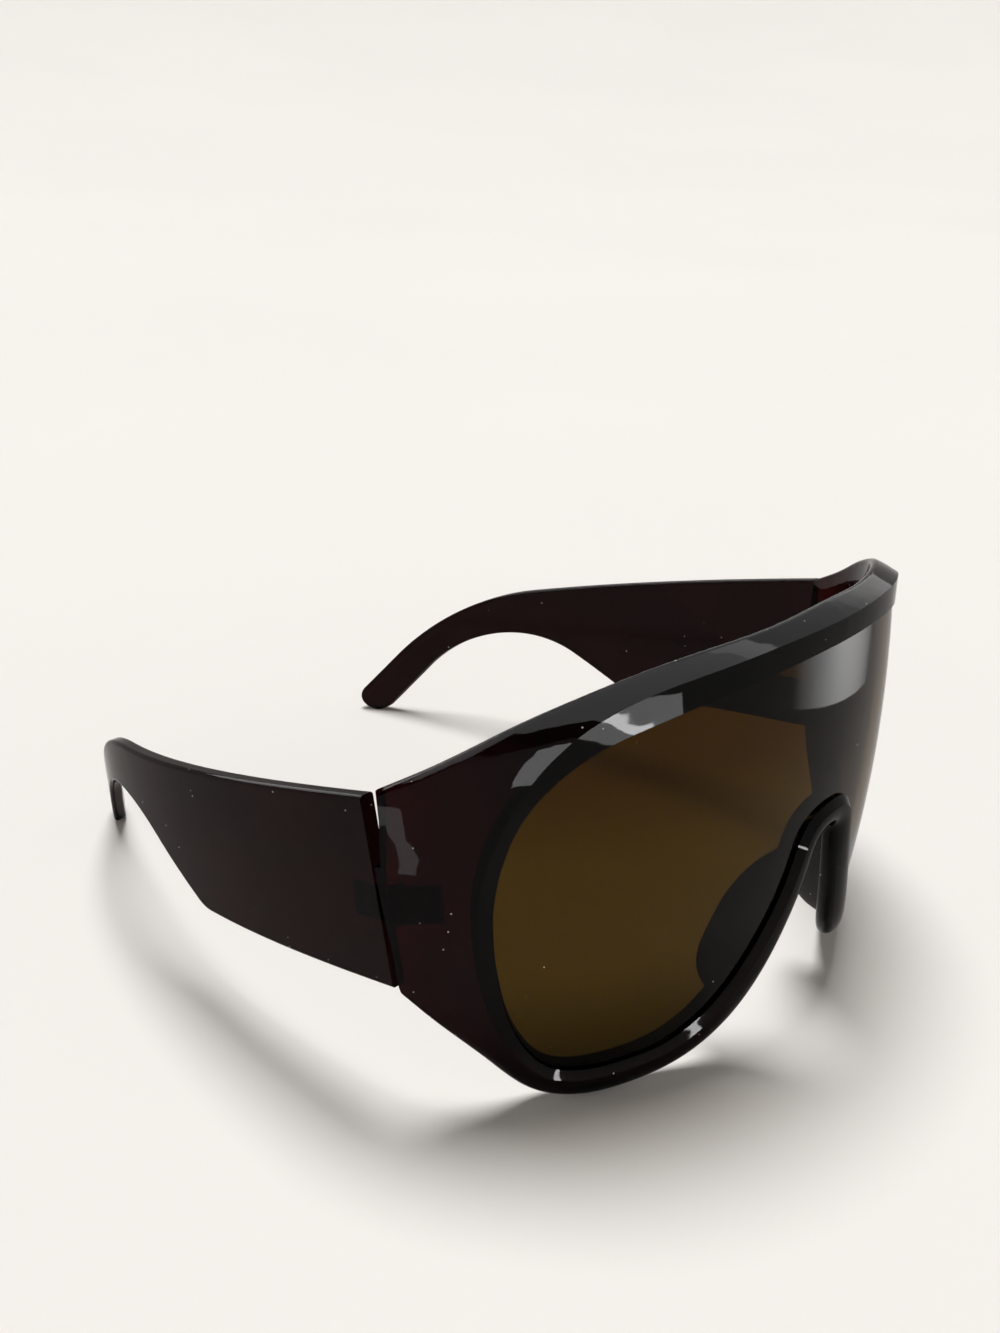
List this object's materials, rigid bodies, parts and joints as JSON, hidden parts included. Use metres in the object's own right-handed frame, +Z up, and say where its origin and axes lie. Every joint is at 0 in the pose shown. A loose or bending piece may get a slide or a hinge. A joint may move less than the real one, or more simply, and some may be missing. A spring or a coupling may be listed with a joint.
{
  "type": "shield sunglasses",
  "caption": "Oversized wraparound shield sunglasses: one tinted lens in a full-rim front with moulded nose pads, and wide temples with ear hooks that fold on screw hinges.",
  "frame": {"origin": "on the surface it stands on, under the centre of its outline, temples open", "axes": "+Z up, +Y from the lens back towards the ear hooks, +X to the wearer's left"},
  "size_m": [0.149, 0.1586, 0.0846],
  "materials": {
    "frame_plastic": "gloss",
    "lens_plastic": "gloss",
    "hinge_metal": "satin"
  },
  "bodies": {
    "front": {"front_frame": "frame_plastic", "shield_lens": "lens_plastic", "hinge_front_leaf_left": "hinge_metal", "hinge_screw_left": "hinge_metal", "hinge_front_leaf_right": "hinge_metal", "hinge_screw_right": "hinge_metal"},
    "temple_left": {"temple_left": "frame_plastic", "hinge_temple_leaf_left": "hinge_metal"},
    "temple_right": {"temple_right": "frame_plastic", "hinge_temple_leaf_right": "hinge_metal"}
  },
  "joints": [
    {"name": "left_temple_fold", "type": "hinge", "parent": "front", "child": "temple_left", "pos_m": [0.06917, -0.03717, 0.04015], "axis": [0, 0.1707, 0.9853], "range_deg": [0, 80]},
    {"name": "right_temple_fold", "type": "hinge", "parent": "front", "child": "temple_right", "pos_m": [-0.06917, -0.03717, 0.04015], "axis": [0, -0.1707, -0.9853], "range_deg": [0, 70]}
  ]
}
